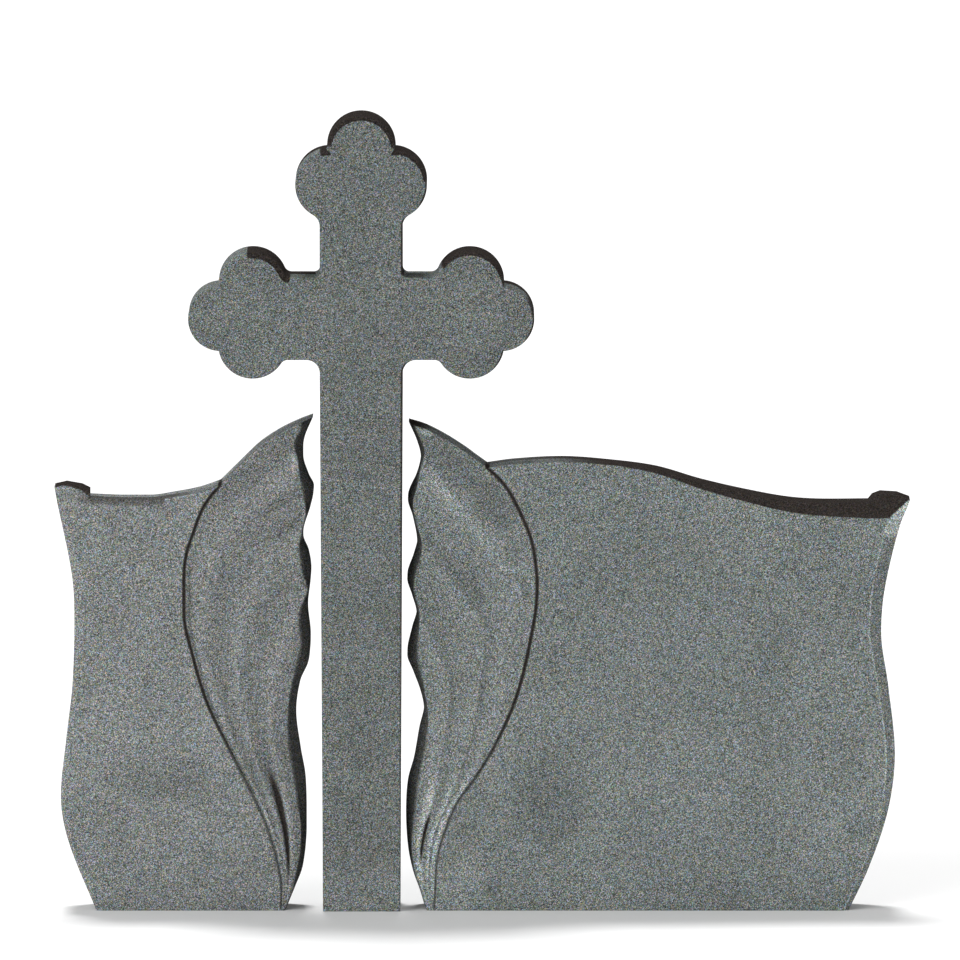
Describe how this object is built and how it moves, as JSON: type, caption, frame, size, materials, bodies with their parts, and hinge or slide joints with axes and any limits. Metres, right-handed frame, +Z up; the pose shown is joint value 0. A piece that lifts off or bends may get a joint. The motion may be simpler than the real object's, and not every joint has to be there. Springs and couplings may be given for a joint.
{
  "type": "granite cross monument",
  "caption": "Memorial of grey granite: a tall cross with trefoil ends standing between two low steles, each carved with a fluted wing beside the cross and cut with a swept, eared top.",
  "frame": {"origin": "centre of the cross's underside, on the level that all three stones stand on", "axes": "+Z up, +X along the width towards the wide stele, and the carved fronts face -Y"},
  "size_m": [1.283, 0.1, 1.199],
  "materials": {
    "granite": "fine-grained grey granite, honed fronts with darker polished edges"
  },
  "bodies": {
    "root": {"cross": "granite", "left_stele": "granite", "right_stele": "granite"}
  },
  "joints": []
}
